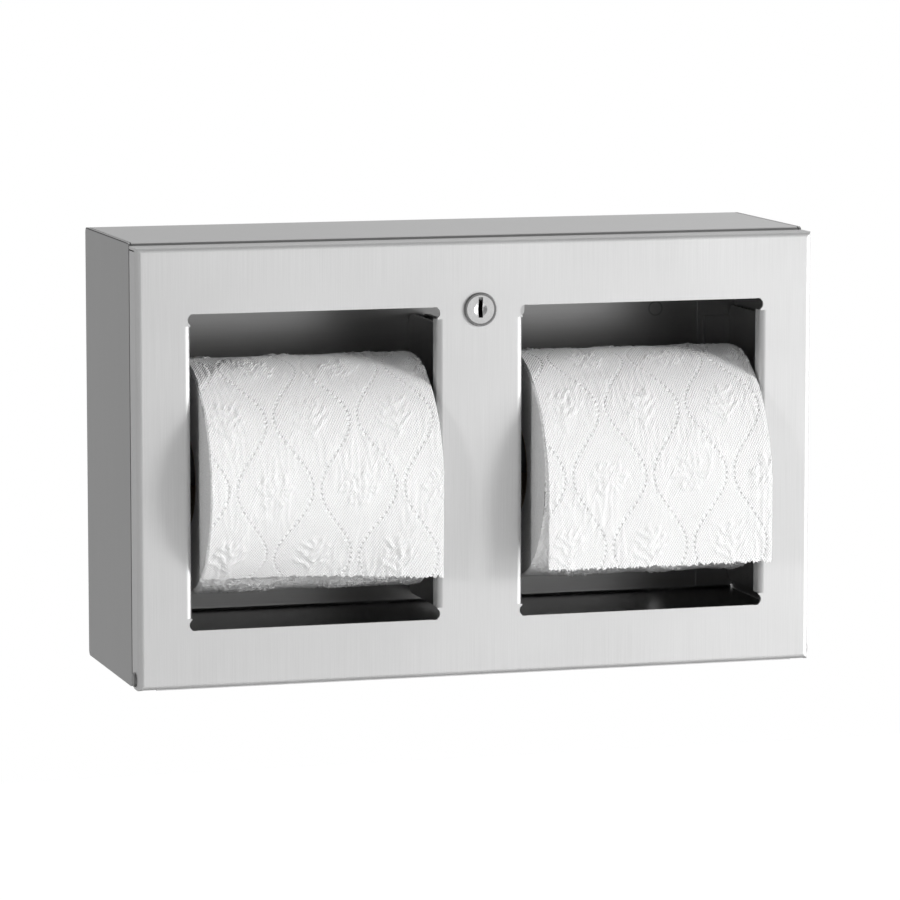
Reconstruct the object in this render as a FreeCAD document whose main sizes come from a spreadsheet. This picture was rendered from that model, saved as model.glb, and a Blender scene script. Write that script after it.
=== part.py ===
import FreeCAD, Part
import math
import os
import Sketcher

# Surface-mounted double roll paper dispenser, in millimetres.
# X runs to the right, Y into the wall (the wall is Y = 0) and Z up.
# The origin is the centre of the wall screw pattern, at the height of the roll spindles.

DRIVING_SIZES = (
    # paper rolls, cores and loose ends
    ("roll_width", 101.6),
    ("left_roll_radius", 50.7),
    ("right_roll_radius", 49.9),
    ("roll_edge_round", 1.2),
    ("left_roll_shift", 1.4),
    ("right_roll_shift", 2.6),
    ("core_inner_radius", 21.1),
    ("core_wall", 0.8),
    ("core_fit", 0.05),
    ("tail_thickness", 0.6),
    ("tail_gap", 0.3),
    ("left_tail_angle", 22.0),
    ("left_tail_bulge", 0.8),
    ("left_tail_drop", 40.7),
    ("right_tail_angle", 36.0),
    ("right_tail_bulge", 4.0),
    ("right_tail_drop", 38.7),
    # room around the rolls, which sets the size of the box
    ("roll_side_gap", 3.4),
    ("roll_front_reach", 16.0),
    ("roll_rear_gap", 13.6),
    ("roll_floor_gap", 18.0),
    ("head_height", 95.0),
    ("floor_height", 17.5),
    # cabinet sheet
    ("cabinet_sheet", 1.0),
    ("bend_radius", 2.5),
    ("seam_gap", 0.45),
    ("top_lip", 10.0),
    ("floor_lip", 8.0),
    ("end_flange", 17.5),
    ("flange_end_gap", 1.5),
    # wall screw holes
    ("mount_spacing_across", 225.0),
    ("mount_spacing_up", 126.0),
    ("mount_hole_radius", 2.5),
    # door pan and its windows
    ("door_sheet", 1.2),
    ("door_depth", 12.0),
    ("door_top_drop", 1.2),
    ("door_gap", 1.3),
    ("door_side_margin", 23.5),
    ("door_stile", 38.2),
    ("door_bottom_rail", 25.2),
    ("window_height", 135.2),
    ("window_return", 6.7),
    ("relief_radius", 2.6),
    ("relief_reach_side", 1.2),
    ("relief_reach_up", 0.1),
    ("corner_seam", 0.6),
    ("bottom_flange", 8.0),
    ("bottom_flange_end_gap", 8.0),
    # door pivots
    ("pivot_rise", 4.2),
    ("pivot_setback", 6.7),
    ("pivot_radius", 1.95),
    ("pivot_fit", 0.05),
    ("rivet_head_radius", 3.2),
    ("rivet_head_height", 1.1),
    ("rivet_crown_share", 0.7),
    ("rivet_tail_radius", 2.9),
    ("rivet_tail_height", 1.0),
    ("washer_thickness", 0.7),
    ("washer_radius", 3.8),
    ("ear_thickness", 1.5),
    ("ear_half_height", 3.8),
    ("ear_length", 25.0),
    ("ear_joggle", 2.0),
    ("ear_tip_share", 0.9),
    ("heel_round_share", 0.95),
    # roll brackets
    ("bracket_sheet", 1.5),
    ("bracket_lock_drop", 11.0),
    ("bracket_floor_gap", 4.5),
    ("bracket_front_gap", 1.7),
    ("bracket_corner", 5.0),
    ("bracket_flange", 14.0),
    ("bracket_wall_gap", 1.1),
    ("centre_bracket_width", 8.0),
    # roll spindles
    ("spindle_radius", 12.0),
    ("spindle_end_gap", 0.4),
    ("spindle_end_round", 1.0),
    ("spindle_groove_width", 6.0),
    ("spindle_groove_depth", 1.2),
    ("roll_hang_gap", 0.3),
    ("pin_side", 6.6),
    ("pin_side_gap", 0.3),
    ("pin_overlap", 0.8),
    ("slot_rise", 9.0),
    # lock
    ("lock_drop", 31.0),
    ("bezel_radius", 7.3),
    ("bezel_height", 1.0),
    ("bezel_ring", 1.2),
    ("barrel_radius", 6.2),
    ("barrel_length", 16.0),
    ("barrel_fit", 0.1),
    ("plug_radius", 4.3),
    ("plug_fit", 0.05),
    ("plug_head_sink", 0.2),
    ("plug_head_depth", 1.0),
    ("keyway_height", 8.8),
    ("keyway_width", 1.9),
    ("keyway_rise", 0.9),
    ("keyway_depth", 9.0),
    ("keyway_dish_radius", 2.9),
    ("keyway_dish_floor", 1.3),
    ("keyway_dish_depth", 0.6),
    ("nut_across_flats", 16.0),
    ("nut_height", 4.0),
    ("tail_square", 5.0),
    ("tail_square_fit", 0.05),
    ("stop_washer_radius", 6.0),
    ("stop_washer_thickness", 0.8),
    ("stop_tab_width", 3.0),
    ("stop_tab_reach", 2.2),
    ("cam_thickness", 1.6),
    ("cam_width", 10.0),
    ("cam_corner", 2.5),
    ("cam_lap", 4.0),
    ("cam_running_gap", 0.1),
    ("cam_screw_radius", 1.5),
    ("cam_screw_length", 6.0),
    ("cam_screw_head_radius", 3.9),
    ("cam_screw_head_height", 2.0),
    ("cam_screw_slot", 0.9),
    ("cam_screw_slot_depth", 0.8),
)

TOUCH = 1e-4
NUT_SIDES = 6
LEFT = -1
RIGHT = 1

doc = FreeCAD.newDocument("PaperDispenser")
sheet = doc.addObject("Spreadsheet::Sheet", "Sizes")
for row, (alias, number) in enumerate(DRIVING_SIZES, start=1):
    sheet.set("A%d" % row, alias)
    sheet.set("B%d" % row, str(number))
    sheet.setAlias("B%d" % row, alias)
doc.recompute()

# Derived places, as expressions on the sheet.

WINDOW = "(Sizes.roll_width + 2 * Sizes.roll_side_gap)"
HALF_WIDTH = "(Sizes.door_stile / 2 + %s + Sizes.door_side_margin)" % WINDOW
WINDOW_X = "(Sizes.door_stile / 2 + %s / 2)" % WINDOW
INSIDE_X = "(%s - Sizes.cabinet_sheet)" % HALF_WIDTH

ROLL_DROP = "(Sizes.core_inner_radius - Sizes.spindle_radius - Sizes.roll_hang_gap)"
TOP = "Sizes.head_height"
ROLL_TO_BASE = "(Sizes.left_roll_radius + Sizes.roll_floor_gap + Sizes.floor_height)"
BOTTOM = "(-%s - %s)" % (ROLL_DROP, ROLL_TO_BASE)
FLOOR = "(%s + Sizes.floor_height)" % BOTTOM

ROLL_Y = "(-Sizes.cabinet_sheet - Sizes.roll_rear_gap - Sizes.left_roll_radius)"
FRONT = "(%s - Sizes.left_roll_radius + Sizes.roll_front_reach)" % ROLL_Y
DOOR_BACK = "(%s + Sizes.door_depth)" % FRONT
CABINET_FRONT = "(%s + Sizes.door_gap)" % DOOR_BACK

DOOR_TOP = "(%s - Sizes.door_top_drop)" % TOP
DOOR_INNER_X = "(%s - Sizes.door_sheet)" % HALF_WIDTH
LOCK_Z = "(%s - Sizes.lock_drop)" % TOP
WINDOW_LOW = "(%s + Sizes.door_bottom_rail)" % BOTTOM
WINDOW_HIGH = "(%s + Sizes.window_height)" % WINDOW_LOW
WINDOW_NEAR = "(Sizes.door_stile / 2)"
WINDOW_FAR = "(Sizes.door_stile / 2 + %s)" % WINDOW
BEND_INNER = "(Sizes.bend_radius - Sizes.cabinet_sheet)"

PIVOT_Y = "(%s + Sizes.pivot_setback)" % FRONT
PIVOT_Z = "(%s + Sizes.pivot_rise)" % BOTTOM
EAR_OUTER_X = "(%s - Sizes.washer_thickness - 2 * Sizes.pivot_fit)" % DOOR_INNER_X
EAR_INNER_X = "(%s - Sizes.ear_thickness)" % EAR_OUTER_X
PIVOT_HOLE = "(Sizes.pivot_radius + Sizes.pivot_fit)"

BRACKET_FRONT = "(%s + Sizes.bracket_front_gap)" % CABINET_FRONT
BRACKET_LOW = "(%s + Sizes.bracket_floor_gap)" % FLOOR
BRACKET_HIGH = "(%s - Sizes.bracket_lock_drop)" % LOCK_Z
BRACKET_OUTER_X = "(%s - Sizes.bracket_wall_gap)" % INSIDE_X
BRACKET_INNER_X = "(%s - Sizes.bracket_sheet)" % BRACKET_OUTER_X
BRACKET_REAR = "(-2 * Sizes.cabinet_sheet)"
CENTRE_FACE_X = "(Sizes.centre_bracket_width / 2)"

SPINDLE_NEAR_X = "(%s + Sizes.spindle_end_gap)" % CENTRE_FACE_X
SPINDLE_FAR_X = "(%s - Sizes.spindle_end_gap)" % BRACKET_INNER_X
SPINDLE_X = "((%s + %s) / 2)" % (SPINDLE_NEAR_X, SPINDLE_FAR_X)
SPINDLE_LENGTH = "(%s - %s)" % (SPINDLE_FAR_X, SPINDLE_NEAR_X)
PIN_REACH = "(Sizes.spindle_end_gap + Sizes.bracket_sheet + Sizes.pin_overlap)"

PLUG_HEAD = "(Sizes.bezel_radius - Sizes.bezel_ring)"
CAM_REACH = "(Sizes.lock_drop - Sizes.top_lip + Sizes.cam_lap)"
STOP_WASHER_Y = "(Sizes.barrel_length + Sizes.cam_running_gap)"
CAM_Y = "(%s + Sizes.stop_washer_thickness)" % STOP_WASHER_Y
CAM_BACK_Y = "(%s + Sizes.cam_thickness)" % CAM_Y
TAIL_HOLE = "(Sizes.tail_square + 2 * Sizes.tail_square_fit)"

parts = []


def value(expression):
    return float(sheet.evalExpression(expression))


def minus(expression):
    return "(-%s)" % expression


def signed(side, expression):
    return expression if side > 0 else minus(expression)


def new_body(label):
    body = doc.addObject("PartDesign::Body", label)
    body.Label = label
    parts.append(body)
    return body


def place(body, x="0", y="0", z="0"):
    body.setExpression("Placement.Base.x", x)
    body.setExpression("Placement.Base.y", y)
    body.setExpression("Placement.Base.z", z)


def new_sketch(body, plane, offset=None):
    sketch = body.newObject("Sketcher::SketchObject", "Sketch")
    origin_plane = [item for item in body.Origin.OriginFeatures if item.Role == plane][0]
    sketch.AttachmentSupport = [(origin_plane, "")]
    sketch.MapMode = "FlatFace"
    if offset:
        sketch.setExpression("AttachmentOffset.Base.z", offset)
    return sketch


def bind(sketch, constraint, expression):
    index = sketch.addConstraint(constraint)
    sketch.setExpression("Constraints[%d]" % index, expression)


def bind_point(sketch, geometry, end, x, y):
    bind(sketch, Sketcher.Constraint("DistanceX", -1, 1, geometry, end, value(x)), x)
    bind(sketch, Sketcher.Constraint("DistanceY", -1, 1, geometry, end, value(y)), y)


def circle(sketch, x, y, radius):
    centre = FreeCAD.Vector(value(x), value(y), 0)
    index = sketch.addGeometry(Part.Circle(centre, FreeCAD.Vector(0, 0, 1), value(radius)))
    bind(sketch, Sketcher.Constraint("Radius", index, value(radius)), radius)
    bind_point(sketch, index, 3, x, y)


def polygon(sketch, points):
    corners = [FreeCAD.Vector(value(x), value(y), 0) for x, y in points]
    count = len(corners)
    lines = []
    for index, corner in enumerate(corners):
        lines.append(sketch.addGeometry(Part.LineSegment(corner, corners[(index + 1) % count])))
    for index, line in enumerate(lines):
        sketch.addConstraint(Sketcher.Constraint("Coincident", line, 2, lines[(index + 1) % count], 1))
        bind_point(sketch, line, 1, *points[index])


def corner_arc(before, corner, after, radius):
    # Tangent arc that rounds one right-angled corner, and which of its ends comes first.
    inward = (before - corner).normalize()
    outward = (after - corner).normalize()
    centre = corner + (inward + outward) * radius
    turns_left = inward.cross(outward).z < 0
    first, last = -outward, -inward
    if not turns_left:
        first, last = last, first
    start = FreeCAD.Vector(1, 0, 0).getAngle(first)
    if first.y < 0:
        start = -start
    full = Part.Circle(centre, FreeCAD.Vector(0, 0, 1), radius)
    quarter = Part.ArcOfCircle(full, start, start + math.pi / 2)
    return quarter, turns_left


def outline(sketch, edges):
    # Closed outline of level and upright edges. An edge is its kind ("v" or "h"), its place and the
    # radius of the corner at its end, or None for a sharp corner.
    count = len(edges)
    corners = []
    for index, (kind, at, radius) in enumerate(edges):
        following = edges[(index + 1) % count]
        if kind == "v":
            corners.append(FreeCAD.Vector(value(at), value(following[1]), 0))
        else:
            corners.append(FreeCAD.Vector(value(following[1]), value(at), 0))
    ends = []
    starts = []
    for index, corner in enumerate(corners):
        before = corners[index - 1]
        after = corners[(index + 1) % count]
        radius = value(edges[index][2]) if edges[index][2] else 0.0
        ends.append(corner + (before - corner).normalize() * radius)
        starts.append(corner + (after - corner).normalize() * radius)
    lines = []
    for index in range(count):
        lines.append(sketch.addGeometry(Part.LineSegment(starts[index - 1], ends[index])))
    for index, (kind, at, radius) in enumerate(edges):
        line = lines[index]
        following = lines[(index + 1) % count]
        upright = kind == "v"
        sketch.addConstraint(Sketcher.Constraint("Vertical" if upright else "Horizontal", line))
        distance = "DistanceX" if upright else "DistanceY"
        bind(sketch, Sketcher.Constraint(distance, -1, 1, line, 1, value(at)), at)
        if radius is None:
            sketch.addConstraint(Sketcher.Constraint("Coincident", line, 2, following, 1))
            continue
        before = corners[index - 1]
        after = corners[(index + 1) % count]
        curve, turns_left = corner_arc(before, corners[index], after, value(radius))
        arc = sketch.addGeometry(curve)
        first, last = (1, 2) if turns_left else (2, 1)
        sketch.addConstraint(Sketcher.Constraint("Tangent", line, 2, arc, first))
        sketch.addConstraint(Sketcher.Constraint("Tangent", arc, last, following, 1))
        bind(sketch, Sketcher.Constraint("Radius", arc, value(radius)), radius)


def rectangle(sketch, left, right, low, high, corner=None):
    outline(sketch, [("v", left, corner), ("h", low, corner), ("v", right, corner), ("h", high, corner)])


def square(sketch, side):
    half = "(%s / 2)" % side
    rectangle(sketch, minus(half), half, minus(half), half)


def pad(body, sketch, length, backwards=False, symmetric=False):
    feature = body.newObject("PartDesign::Pad", "Pad")
    feature.Profile = sketch
    feature.setExpression("Length", length)
    feature.Reversed = backwards
    if symmetric:
        feature.SideType = "Symmetric"
    doc.recompute()
    return feature


def pocket(body, sketch, length=None, backwards=False):
    # Cuts along the sketch's back side for a length, or right through both ways without one.
    before = body.Shape.Volume
    feature = body.newObject("PartDesign::Pocket", "Pocket")
    feature.Profile = sketch
    feature.Reversed = backwards
    if length:
        feature.setExpression("Length", length)
    else:
        feature.Type = "ThroughAll"
        feature.SideType = "Symmetric"
    doc.recompute()
    if not body.Shape.Volume < before:
        raise RuntimeError("a pocket of %s cuts nothing" % body.Label)
    return feature


def fillet(body, radius, chosen):
    # Rounds the edges of the body's last feature that the chosen test picks by their box.
    base = body.Tip
    names = []
    for number, edge in enumerate(base.Shape.Edges, start=1):
        if chosen(edge.BoundBox):
            names.append("Edge%d" % number)
    if not names:
        raise RuntimeError("no edge to round on %s" % body.Label)
    feature = body.newObject("PartDesign::Fillet", "Fillet")
    feature.Base = (base, names)
    feature.setExpression("Radius", radius)
    doc.recompute()
    return feature


def near(number, expression):
    return abs(number - value(expression)) < TOUCH


def make_cabinet_wrap():
    body = new_body("cabinet_wrap")
    bend = "Sizes.bend_radius"
    sheet_back = "(-Sizes.cabinet_sheet)"
    lip_back = "(%s + Sizes.cabinet_sheet)" % CABINET_FRONT
    profile = new_sketch(body, "YZ_Plane")
    outline(profile, [
        ("v", CABINET_FRONT, bend),
        ("h", TOP, bend),
        ("v", "0", bend),
        ("h", "(%s - Sizes.cabinet_sheet)" % FLOOR, BEND_INNER),
        ("v", lip_back, None),
        ("h", "(%s - Sizes.floor_lip)" % FLOOR, None),
        ("v", CABINET_FRONT, bend),
        ("h", FLOOR, BEND_INNER),
        ("v", sheet_back, BEND_INNER),
        ("h", "(%s - Sizes.cabinet_sheet)" % TOP, BEND_INNER),
        ("v", lip_back, None),
        ("h", "(%s - Sizes.top_lip)" % TOP, None),
    ])
    pad(body, profile, "2 * (%s - Sizes.seam_gap)" % INSIDE_X, symmetric=True)
    holes = new_sketch(body, "XZ_Plane")
    for across in ("(Sizes.mount_spacing_across / 2)", "(-Sizes.mount_spacing_across / 2)"):
        for up in ("(Sizes.mount_spacing_up / 2)", "(-Sizes.mount_spacing_up / 2)"):
            circle(holes, across, up, "Sizes.mount_hole_radius")
    pocket(body, holes)


def make_end_panel(name, side):
    body = new_body(name)
    bend = "Sizes.bend_radius"
    inner = signed(side, INSIDE_X)
    plate = new_sketch(body, "YZ_Plane", inner)
    rectangle(plate, CABINET_FRONT, "0", BOTTOM, TOP, bend)
    pad(body, plate, "Sizes.cabinet_sheet", backwards=side < 0)
    flange = new_sketch(body, "YZ_Plane", inner)
    low = "(%s + Sizes.flange_end_gap)" % FLOOR
    high = "(%s - Sizes.cabinet_sheet - Sizes.flange_end_gap)" % TOP
    rectangle(flange, "(-2 * Sizes.cabinet_sheet)", "(-Sizes.cabinet_sheet)", low, high)
    pad(body, flange, "Sizes.end_flange", backwards=side > 0)


def slot_outline(sketch):
    # L-shaped slot for a square pin: in from the front edge, back to the seat, then down.
    half = "(Sizes.pin_side / 2)"
    room = "(%s + Sizes.pin_side_gap)" % half
    mouth = "(%s - Sizes.pin_side)" % BRACKET_FRONT
    outline(sketch, [
        ("v", "(%s + %s)" % (ROLL_Y, room), None),
        ("h", minus(half), None),
        ("v", "(%s - %s)" % (ROLL_Y, room), None),
        ("h", "(Sizes.slot_rise - %s)" % room, None),
        ("v", mouth, None),
        ("h", "(Sizes.slot_rise + %s)" % room, None),
    ])


def make_side_bracket(name, side):
    body = new_body(name)
    corner = "Sizes.bracket_corner"
    web = new_sketch(body, "YZ_Plane", signed(side, BRACKET_INNER_X))
    rectangle(web, BRACKET_FRONT, BRACKET_REAR, BRACKET_LOW, BRACKET_HIGH, corner)
    pad(body, web, "Sizes.bracket_sheet", backwards=side < 0)
    flange = new_sketch(body, "YZ_Plane", signed(side, BRACKET_OUTER_X))
    low = "(%s + %s)" % (BRACKET_LOW, corner)
    high = "(%s - %s)" % (BRACKET_HIGH, corner)
    rectangle(flange, "(%s - Sizes.bracket_sheet)" % BRACKET_REAR, BRACKET_REAR, low, high)
    pad(body, flange, "Sizes.bracket_flange", backwards=side > 0)
    slot = new_sketch(body, "YZ_Plane", signed(side, BRACKET_OUTER_X))
    slot_outline(slot)
    pocket(body, slot, "2 * Sizes.bracket_sheet", backwards=side < 0)


def make_centre_bracket():
    body = new_body("centre_roll_bracket")
    corner = "Sizes.bracket_corner"
    rear = "(-Sizes.cabinet_sheet)"
    base = new_sketch(body, "YZ_Plane")
    low = "(%s + %s)" % (BRACKET_LOW, corner)
    high = "(%s - %s)" % (BRACKET_HIGH, corner)
    rectangle(base, "(%s - Sizes.bracket_sheet)" % rear, rear, low, high)
    pad(body, base, "Sizes.centre_bracket_width", symmetric=True)
    for side in (LEFT, RIGHT):
        web = new_sketch(body, "YZ_Plane", signed(side, CENTRE_FACE_X))
        rectangle(web, BRACKET_FRONT, rear, BRACKET_LOW, BRACKET_HIGH, corner)
        pad(body, web, "Sizes.bracket_sheet", backwards=side > 0)
    slot = new_sketch(body, "YZ_Plane")
    slot_outline(slot)
    pocket(body, slot)


def make_pivot_ear(name, side):
    # Joggled plate: flat on the end panel behind the door, stepped inwards beside the door's flange.
    body = new_body(name)
    tip = "(%s - Sizes.ear_half_height)" % PIVOT_Y
    step = "(%s + Sizes.ear_joggle / 2)" % CABINET_FRONT
    seat = "(%s + Sizes.ear_joggle)" % step
    end = "(%s + Sizes.ear_length)" % CABINET_FRONT
    panel_inner = "(%s - Sizes.ear_thickness)" % INSIDE_X
    plate = new_sketch(body, "XY_Plane", PIVOT_Z)
    polygon(plate, [
        (signed(side, EAR_OUTER_X), tip),
        (signed(side, EAR_OUTER_X), step),
        (signed(side, INSIDE_X), seat),
        (signed(side, INSIDE_X), end),
        (signed(side, panel_inner), end),
        (signed(side, panel_inner), seat),
        (signed(side, EAR_INNER_X), step),
        (signed(side, EAR_INNER_X), tip),
    ])
    pad(body, plate, "2 * Sizes.ear_half_height", symmetric=True)
    fillet(body, "Sizes.ear_tip_share * Sizes.ear_half_height",
           lambda box: near(box.YMin, tip) and near(box.YMax, tip) and box.XLength > TOUCH)
    hole = new_sketch(body, "YZ_Plane")
    circle(hole, PIVOT_Y, PIVOT_Z, PIVOT_HOLE)
    pocket(body, hole)


def make_pivot_rivet(name, side):
    body = new_body(name)
    outer = signed(side, HALF_WIDTH)
    tail = "(%s - Sizes.pivot_fit)" % EAR_INNER_X
    outwards = side < 0
    head = new_sketch(body, "YZ_Plane", outer)
    circle(head, PIVOT_Y, PIVOT_Z, "Sizes.rivet_head_radius")
    pad(body, head, "Sizes.rivet_head_height", backwards=outwards)
    crown = "(%s + %s)" % (HALF_WIDTH, "Sizes.rivet_head_height")
    fillet(body, "Sizes.rivet_crown_share * Sizes.rivet_head_height",
           lambda box: near(abs(box.XMin), crown) and near(abs(box.XMax), crown))
    shank = new_sketch(body, "YZ_Plane", outer)
    circle(shank, PIVOT_Y, PIVOT_Z, "Sizes.pivot_radius")
    pad(body, shank, "%s - %s" % (HALF_WIDTH, tail), backwards=not outwards)
    formed = new_sketch(body, "YZ_Plane", signed(side, tail))
    circle(formed, PIVOT_Y, PIVOT_Z, "Sizes.rivet_tail_radius")
    pad(body, formed, "Sizes.rivet_tail_height", backwards=not outwards)


def make_pivot_washer(name, side):
    body = new_body(name)
    face = "(%s + Sizes.pivot_fit)" % EAR_OUTER_X
    ring = new_sketch(body, "YZ_Plane", signed(side, face))
    circle(ring, PIVOT_Y, PIVOT_Z, "Sizes.washer_radius")
    circle(ring, PIVOT_Y, PIVOT_Z, PIVOT_HOLE)
    pad(body, ring, "Sizes.washer_thickness", backwards=side < 0)


def make_door_panel():
    body = new_body("door_panel")
    thick = "Sizes.door_sheet"
    front = minus(FRONT)
    inner_front = "(%s - %s)" % (front, thick)
    bend_inner = "(Sizes.bend_radius - %s)" % thick

    block = new_sketch(body, "XZ_Plane", front)
    rectangle(block, minus(HALF_WIDTH), HALF_WIDTH, BOTTOM, DOOR_TOP)
    pad(body, block, "Sizes.door_depth", backwards=True)
    fillet(body, "Sizes.bend_radius", lambda box: near(box.YMax, FRONT))

    hollow = new_sketch(body, "XZ_Plane", inner_front)
    below = "(%s - Sizes.door_depth)" % BOTTOM
    rectangle(hollow, minus(DOOR_INNER_X), DOOR_INNER_X, below, "(%s - %s)" % (DOOR_TOP, thick))
    pocket(body, hollow, "Sizes.door_depth")
    behind = "(%s + %s)" % (FRONT, thick)
    fillet(body, bend_inner,
           lambda box: near(box.YMin, behind) and near(box.YMax, behind) and box.ZMax > value(PIVOT_Z))

    lower = new_sketch(body, "XZ_Plane", inner_front)
    flange_end = "(%s - Sizes.bottom_flange_end_gap)" % HALF_WIDTH
    rectangle(lower, minus(flange_end), flange_end, BOTTOM, "(%s + %s)" % (BOTTOM, thick))
    pad(body, lower, "Sizes.bottom_flange - %s" % thick, backwards=True)

    return_low = "(%s + 2 * Sizes.relief_radius)" % WINDOW_LOW
    return_high = "(%s - 2 * Sizes.relief_radius)" % WINDOW_HIGH
    bend_near = "(%s - Sizes.bend_radius)" % WINDOW_NEAR
    bend_far = "(%s + Sizes.bend_radius)" % WINDOW_FAR
    for near_x, far_x, low, high in (
        (WINDOW_NEAR, WINDOW_FAR, WINDOW_LOW, WINDOW_HIGH),
        (bend_near, bend_far, return_low, return_high),
    ):
        windows = new_sketch(body, "XZ_Plane", front)
        rectangle(windows, near_x, far_x, low, high)
        rectangle(windows, minus(far_x), minus(near_x), low, high)
        pocket(body, windows, "2 * %s" % thick)

    # Each upright window edge is folded inwards: an L-shaped bend carried up the edge.
    returns = new_sketch(body, "XY_Plane", return_low)
    for side in (LEFT, RIGHT):
        for edge, towards_sheet in ((WINDOW_NEAR, "-"), (WINDOW_FAR, "+")):
            outline(returns, [
                ("h", FRONT, "Sizes.bend_radius"),
                ("v", signed(side, edge), None),
                ("h", "(%s + Sizes.window_return)" % FRONT, None),
                ("v", signed(side, "(%s %s %s)" % (edge, towards_sheet, thick)), bend_inner),
                ("h", "(%s + %s)" % (FRONT, thick), None),
                ("v", signed(side, "(%s %s 2 * Sizes.bend_radius)" % (edge, towards_sheet)), None),
            ])
    pad(body, returns, "%s - %s" % (return_high, return_low))

    reliefs = new_sketch(body, "XZ_Plane", front)
    inset_x = "(Sizes.relief_radius - Sizes.relief_reach_side)"
    inset_z = "(Sizes.relief_radius - Sizes.relief_reach_up)"
    for side in (LEFT, RIGHT):
        for x in ("(%s + %s)" % (WINDOW_NEAR, inset_x), "(%s - %s)" % (WINDOW_FAR, inset_x)):
            for z in ("(%s + %s)" % (WINDOW_LOW, inset_z), "(%s - %s)" % (WINDOW_HIGH, inset_z)):
                circle(reliefs, signed(side, x), z, "Sizes.relief_radius")
    pocket(body, reliefs, "Sizes.window_return")

    seam = new_sketch(body, "YZ_Plane")
    seam_high = "(%s - %s)" % (DOOR_TOP, thick)
    rectangle(seam, "(%s + Sizes.bend_radius)" % FRONT, "(%s + Sizes.door_gap / 2)" % DOOR_BACK,
              "(%s - Sizes.corner_seam)" % seam_high, seam_high)
    pocket(body, seam)

    pivots = new_sketch(body, "YZ_Plane")
    circle(pivots, PIVOT_Y, PIVOT_Z, PIVOT_HOLE)
    pocket(body, pivots)
    heel = "(Sizes.door_depth - Sizes.pivot_setback)"
    fillet(body, "Sizes.heel_round_share * min(%s; Sizes.pivot_rise)" % heel,
           lambda box: near(box.YMin, DOOR_BACK) and near(box.YMax, DOOR_BACK) and near(box.ZMin, BOTTOM)
           and near(box.ZMax, BOTTOM))

    keyhole = new_sketch(body, "XZ_Plane", front)
    circle(keyhole, "0", LOCK_Z, "(Sizes.barrel_radius + Sizes.barrel_fit)")
    pocket(body, keyhole, "2 * %s" % thick)


def make_lock_body():
    body = new_body("lock_body")
    bezel = new_sketch(body, "XZ_Plane")
    circle(bezel, "0", "0", "Sizes.bezel_radius")
    pad(body, bezel, "Sizes.bezel_height")
    fillet(body, "Sizes.bezel_height / 2", lambda box: near(box.YMax, "-Sizes.bezel_height"))
    barrel = new_sketch(body, "XZ_Plane")
    circle(barrel, "0", "0", "Sizes.barrel_radius")
    pad(body, barrel, "Sizes.barrel_length", backwards=True)
    seat = new_sketch(body, "XZ_Plane", "Sizes.bezel_height - Sizes.plug_head_depth - Sizes.plug_head_sink")
    circle(seat, "0", "0", "(%s + Sizes.plug_fit)" % PLUG_HEAD)
    pocket(body, seat, "2 * Sizes.plug_head_depth", backwards=True)
    bore = new_sketch(body, "XZ_Plane")
    circle(bore, "0", "0", "(Sizes.plug_radius + Sizes.plug_fit)")
    pocket(body, bore)
    place(body, y=FRONT, z=LOCK_Z)


def make_lock_nut():
    body = new_body("lock_nut")
    hexagon = new_sketch(body, "XZ_Plane")
    half_turn = "(180 / %d)" % NUT_SIDES
    corner = "(Sizes.nut_across_flats / 2 / cos(%s))" % half_turn
    points = []
    for step in range(NUT_SIDES):
        turn = "(%d * %s)" % (2 * step + 1, half_turn)
        points.append(("(%s * cos(%s))" % (corner, turn), "(%s * sin(%s))" % (corner, turn)))
    polygon(hexagon, points)
    pad(body, hexagon, "Sizes.nut_height", backwards=True)
    thread = new_sketch(body, "XZ_Plane")
    circle(thread, "0", "0", "(Sizes.barrel_radius + Sizes.barrel_fit)")
    pocket(body, thread)
    place(body, y="(%s + Sizes.door_sheet)" % FRONT, z=LOCK_Z)


def make_lock_plug():
    body = new_body("lock_plug")
    face = "(Sizes.bezel_height - Sizes.plug_head_sink)"
    head = new_sketch(body, "XZ_Plane", face)
    circle(head, "0", "0", PLUG_HEAD)
    pad(body, head, "Sizes.plug_head_depth", backwards=True)
    stem = new_sketch(body, "XZ_Plane", face)
    circle(stem, "0", "0", "Sizes.plug_radius")
    pad(body, stem, "%s + %s" % (face, STOP_WASHER_Y), backwards=True)
    tail = new_sketch(body, "XZ_Plane", minus(STOP_WASHER_Y))
    square(tail, "Sizes.tail_square")
    pad(body, tail, "%s - %s" % (CAM_BACK_Y, STOP_WASHER_Y), backwards=True)
    keyway = new_sketch(body, "XZ_Plane", face)
    half_width = "(Sizes.keyway_width / 2)"
    half_height = "(Sizes.keyway_height / 2)"
    low = "(Sizes.keyway_rise - %s)" % half_height
    high = "(Sizes.keyway_rise + %s)" % half_height
    rectangle(keyway, minus(half_width), half_width, low, high)
    pocket(body, keyway, "Sizes.keyway_depth")
    dish = new_sketch(body, "XZ_Plane", face)
    circle(dish, "0", "0", "Sizes.keyway_dish_radius")
    cone = pocket(body, dish, "Sizes.keyway_dish_depth")
    slope = "atan((Sizes.keyway_dish_radius - Sizes.keyway_dish_floor) / Sizes.keyway_dish_depth)"
    cone.setExpression("TaperAngle", "-%s" % slope)
    doc.recompute()
    thread = new_sketch(body, "XZ_Plane", minus(CAM_BACK_Y))
    circle(thread, "0", "0", "(Sizes.cam_screw_radius + Sizes.tail_square_fit)")
    pocket(body, thread, "Sizes.cam_screw_length", backwards=True)
    place(body, y=FRONT, z=LOCK_Z)


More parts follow.
